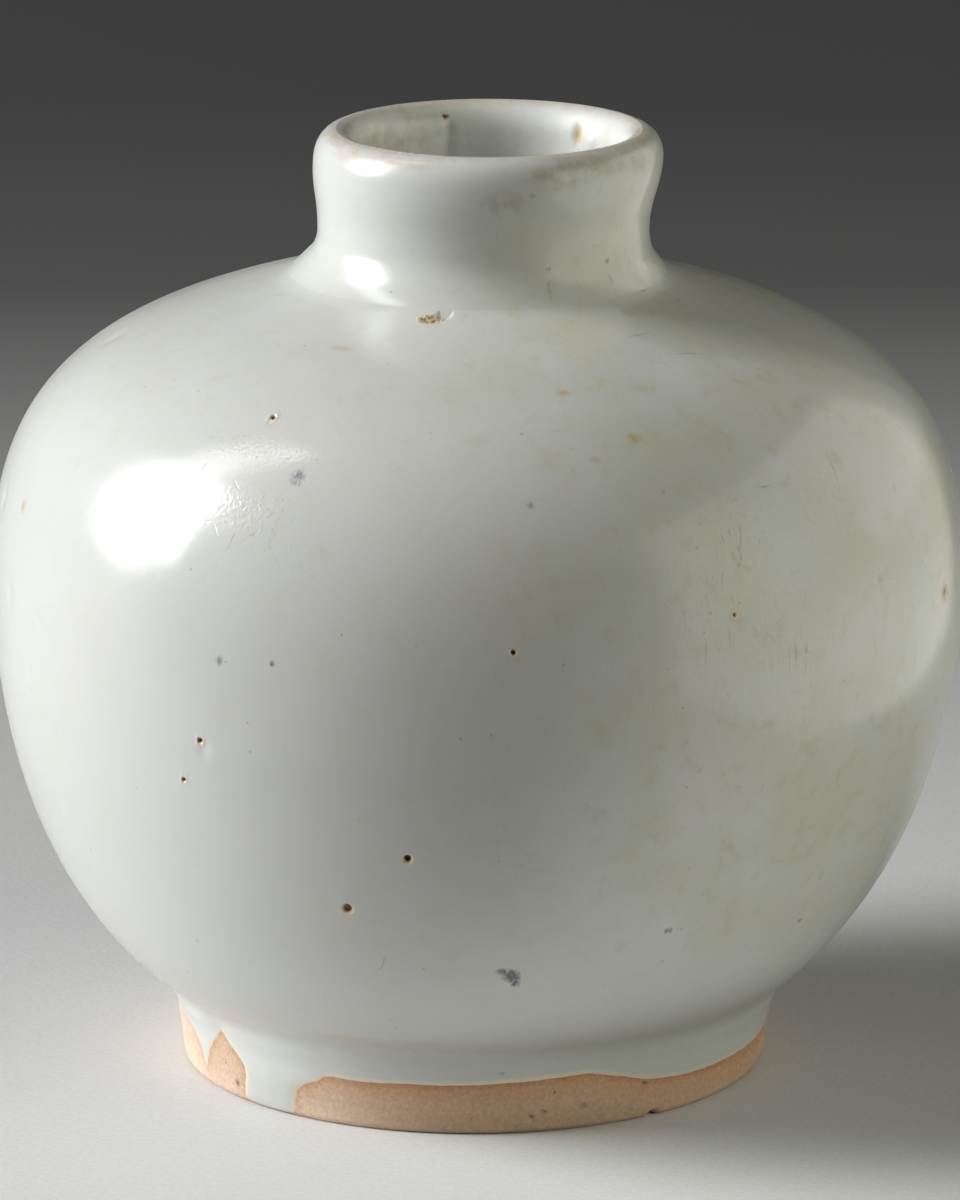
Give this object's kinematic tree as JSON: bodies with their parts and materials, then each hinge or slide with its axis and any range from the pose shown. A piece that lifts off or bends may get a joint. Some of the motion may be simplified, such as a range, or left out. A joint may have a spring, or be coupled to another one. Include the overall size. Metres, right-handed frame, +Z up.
{
  "type": "bud vase",
  "caption": "Small round-bellied porcelain bud vase with a short waisted neck, rolled lip and low foot ring; holds water and a few stems.",
  "frame": {"origin": "on the table surface under the middle of the belly, the bottom centre of the part's box", "axes": "+Z up along the thrown axis, -Y towards the pictured front, +X towards the side that the neck leans to"},
  "size_m": [0.1, 0.1, 0.0976],
  "materials": {
    "bare_clay": "matt fired porcelain clay, pinkish buff, orange-brown at the glaze line",
    "body_clay": "fired porcelain clay under the glaze",
    "slip": "fired luting slip",
    "white_glaze": "glossy white glaze, faint blue-green where thick, small pits and stains"
  },
  "bodies": {
    "root": {"foot_ring": "bare_clay", "foot_luting": "slip", "lower_body": "body_clay", "belly_luting": "slip", "upper_body": "body_clay", "neck_luting": "slip", "neck": "body_clay", "outer_glaze": "white_glaze", "inner_glaze": "white_glaze"}
  },
  "joints": []
}
